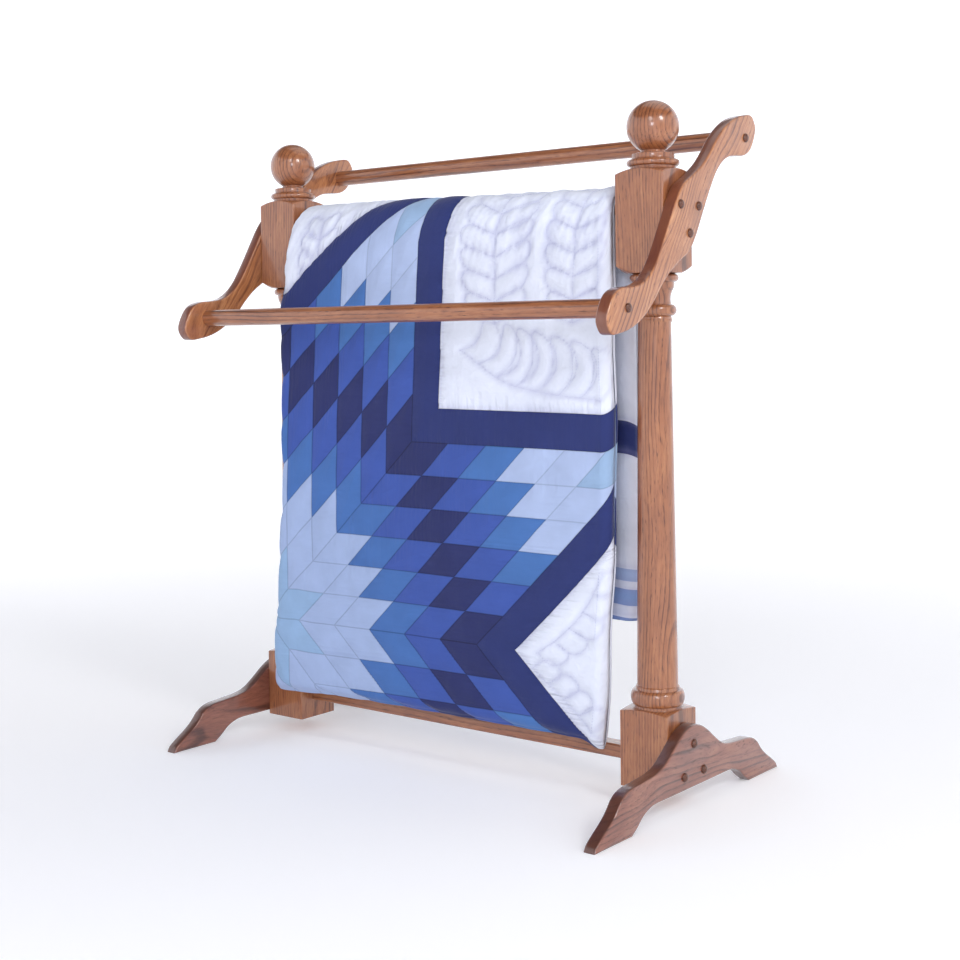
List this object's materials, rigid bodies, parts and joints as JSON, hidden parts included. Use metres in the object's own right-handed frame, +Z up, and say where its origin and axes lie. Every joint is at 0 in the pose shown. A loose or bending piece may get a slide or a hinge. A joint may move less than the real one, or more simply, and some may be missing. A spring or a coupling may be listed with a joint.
{
  "type": "quilt on a rack",
  "caption": "Free-standing turned oak quilt rack with outrigger rods, and a folded star patchwork quilt hung over its top rail.",
  "frame": {"origin": "on the floor, midway between the posts and midway from front to back of the feet", "axes": "+Z up, X along the rods, -Y the front, where the lower rod is"},
  "size_m": [0.8162, 0.48, 0.9613],
  "materials": {
    "oak": "medium brown stained red oak under gloss lacquer",
    "plug_oak": "dark stained oak button plugs under gloss lacquer",
    "screw_steel": "zinc plated wood screws",
    "quilt_cotton": "quilted cotton patchwork in white and blues from sky to navy"
  },
  "bodies": {
    "root": {"post_left": "oak", "arm_left": "oak", "foot_left": "oak", "arm_left_1_screw": "screw_steel", "arm_left_1_plug": "plug_oak", "arm_left_2_screw": "screw_steel", "arm_left_2_plug": "plug_oak", "arm_left_3_screw": "screw_steel", "arm_left_3_plug": "plug_oak", "foot_left_1_screw": "screw_steel", "foot_left_1_plug": "plug_oak", "foot_left_2_screw": "screw_steel", "foot_left_2_plug": "plug_oak", "foot_left_3_screw": "screw_steel", "foot_left_3_plug": "plug_oak", "rod_left_front_screw": "screw_steel", "rod_left_front_plug": "plug_oak", "rod_left_back_screw": "screw_steel", "rod_left_back_plug": "plug_oak", "post_right": "oak", "arm_right": "oak", "foot_right": "oak", "arm_right_1_screw": "screw_steel", "arm_right_1_plug": "plug_oak", "arm_right_2_screw": "screw_steel", "arm_right_2_plug": "plug_oak", "arm_right_3_screw": "screw_steel", "arm_right_3_plug": "plug_oak", "foot_right_1_screw": "screw_steel", "foot_right_1_plug": "plug_oak", "foot_right_2_screw": "screw_steel", "foot_right_2_plug": "plug_oak", "foot_right_3_screw": "screw_steel", "foot_right_3_plug": "plug_oak", "rod_right_front_screw": "screw_steel", "rod_right_front_plug": "plug_oak", "rod_right_back_screw": "screw_steel", "rod_right_back_plug": "plug_oak", "front_rod": "oak", "back_rod": "oak", "quilt_rail": "oak", "stretcher": "oak", "quilt": "quilt_cotton"}
  },
  "joints": []
}
